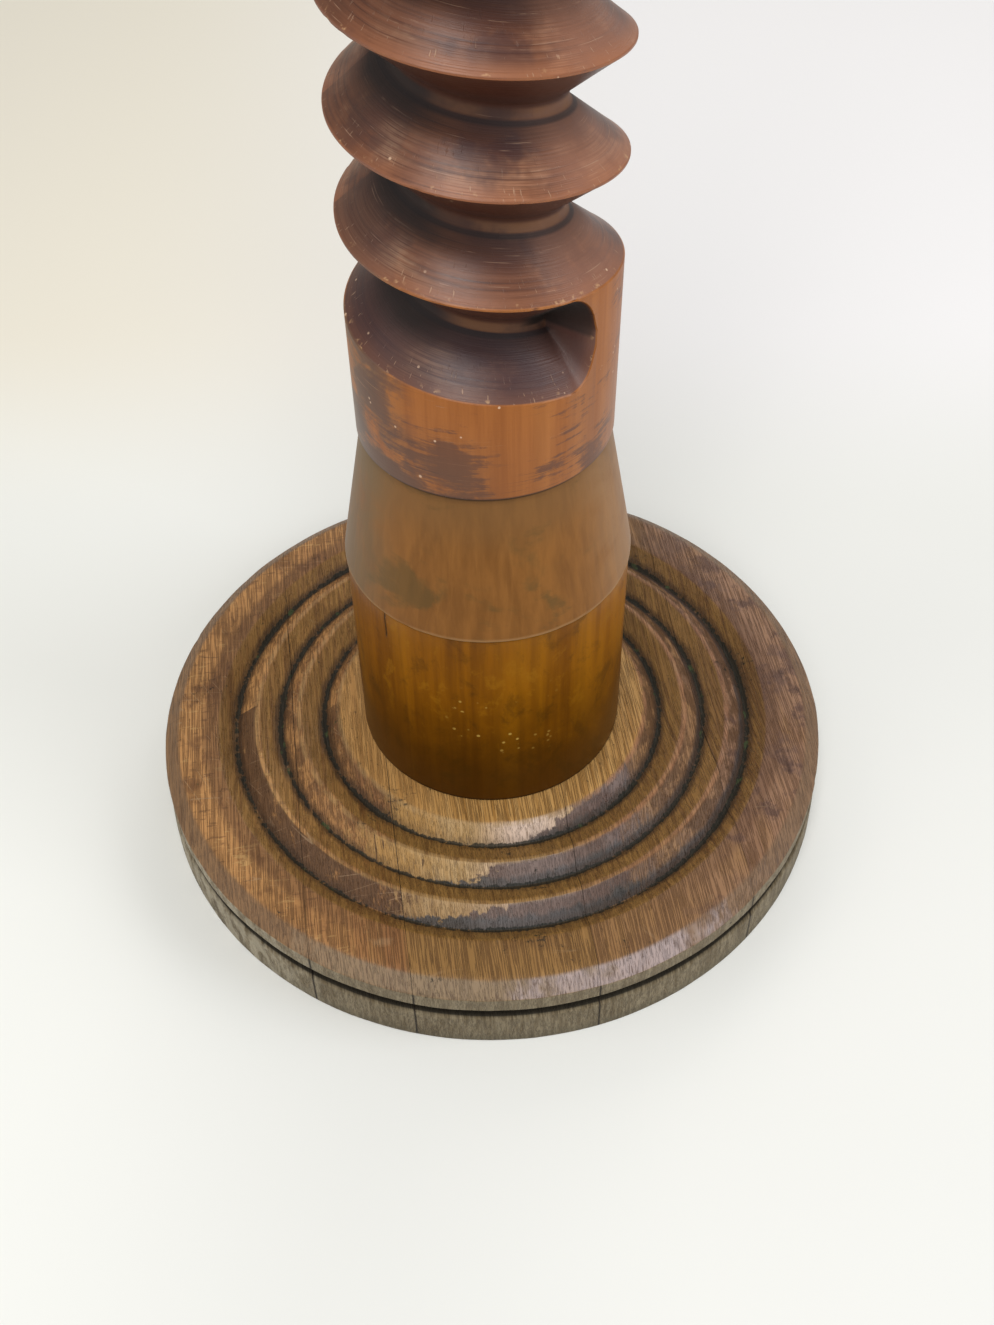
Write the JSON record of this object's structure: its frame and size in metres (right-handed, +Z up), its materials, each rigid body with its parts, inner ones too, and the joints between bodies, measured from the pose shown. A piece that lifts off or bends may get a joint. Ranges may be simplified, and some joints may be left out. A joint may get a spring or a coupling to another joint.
{
  "type": "twisted column",
  "caption": "Wooden column in the form of a coarse left-hand screw with plain necks, on a flared collar, a plain drum and a round ringed base that stands on the floor.",
  "frame": {"origin": "centre of the base's underside, on the floor", "axes": "+Z up along the column's axis, -Y towards the picture's viewer, +X to the viewer's right"},
  "size_m": [0.4036, 0.4036, 1.0086],
  "materials": {
    "screw_wood": "satin",
    "collar_wood": "satin",
    "drum_wood": "gloss",
    "base_wood": "worn satin"
  },
  "bodies": {
    "root": {"screw_shaft": "screw_wood", "flared_collar": "collar_wood", "lower_drum": "drum_wood", "base_board_1": "base_wood", "base_board_2": "base_wood", "base_board_3": "base_wood", "base_board_4": "base_wood", "base_board_5": "base_wood"}
  },
  "joints": []
}
